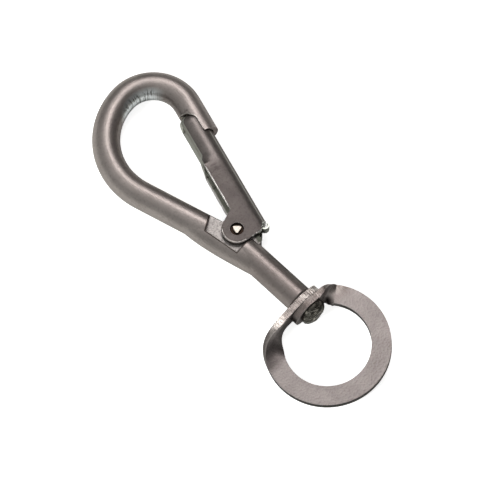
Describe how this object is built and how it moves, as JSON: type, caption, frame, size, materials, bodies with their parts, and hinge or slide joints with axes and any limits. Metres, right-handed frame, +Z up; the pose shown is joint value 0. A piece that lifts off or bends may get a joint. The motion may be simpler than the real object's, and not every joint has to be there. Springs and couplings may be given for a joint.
{
  "type": "swing hook",
  "caption": "Bent wire snap hook with a spring-loaded folded sheet gate and a flat metal ring that swivels on the riveted shank.",
  "frame": {"origin": "on the ground under the middle of the whole part as it lies flat, gate closed", "axes": "+Y along the shank from the ring towards the hook's loop, +Z up from the flat side it lies on, +X towards the gate's outer side"},
  "size_m": [0.0376, 0.0928, 0.0064],
  "materials": {
    "wire": "satin nickel plate on drawn steel wire",
    "pin": "bright pressed rivet ends",
    "gate": "satin nickel plate on folded sheet steel",
    "spring": "plain bright spring strip",
    "ring": "matt plate on stamped sheet steel"
  },
  "bodies": {
    "hook": {"hook_body": "wire", "gate_pin": "pin"},
    "gate": {"gate": "gate", "gate_spring": "spring"},
    "ring": {"swivel_ring": "ring"}
  },
  "joints": [
    {"name": "gate_hinge", "type": "hinge", "parent": "hook", "child": "gate", "pos_m": [0.00012, 0.00063, 0.0032], "axis": [0, 0, 1], "range_deg": [0, 29], "stiffness_Nm_per_rad": 0.2, "springref_deg": -17.19, "deforming": ["gate_spring"]},
    {"name": "ring_swivel", "type": "hinge", "parent": "hook", "child": "ring", "pos_m": [-0.00131, -0.02221, 0.0032], "axis": [0, 1, 0], "continuous": true}
  ]
}
